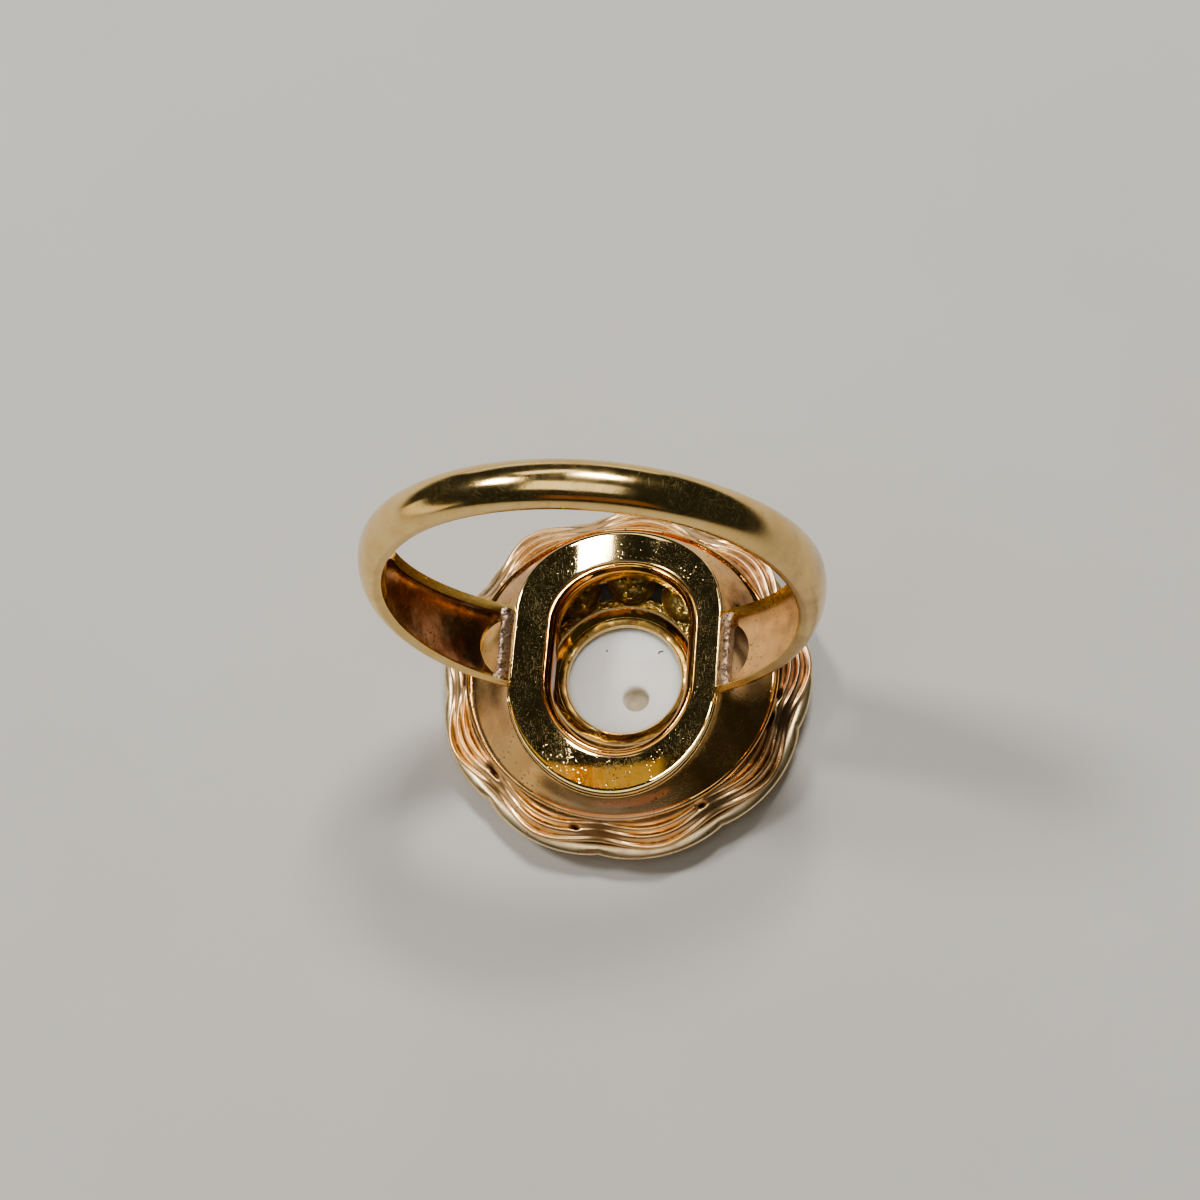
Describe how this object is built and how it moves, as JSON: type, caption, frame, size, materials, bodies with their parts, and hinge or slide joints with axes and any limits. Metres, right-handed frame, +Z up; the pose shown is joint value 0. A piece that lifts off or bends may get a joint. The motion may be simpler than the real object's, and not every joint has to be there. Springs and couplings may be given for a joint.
{
  "type": "flower ring",
  "caption": "Gold finger ring whose flower head of petals holds a round white stone, seen from its open pierced back, with hollow shoulders.",
  "frame": {"origin": "middle of the flower on the surface that its petals rest on, with the ring lying face down on its flower", "axes": "+Z up from the flower to the palm side of the band, +Y along the finger, +X across the band"},
  "size_m": [0.0194, 0.0172, 0.0225],
  "materials": {
    "yellow_gold": "polished yellow gold with fine scratches",
    "rose_gold": "worn satin gold with a pink tone",
    "bright_gold": "bright polished yellow gold",
    "white_stone": "soft matt white back with a drill hole"
  },
  "bodies": {
    "root": {"shank_and_cup": "yellow_gold", "front_petals": "rose_gold", "inner_petals": "bright_gold", "collet": "bright_gold", "stone": "white_stone"}
  },
  "joints": []
}
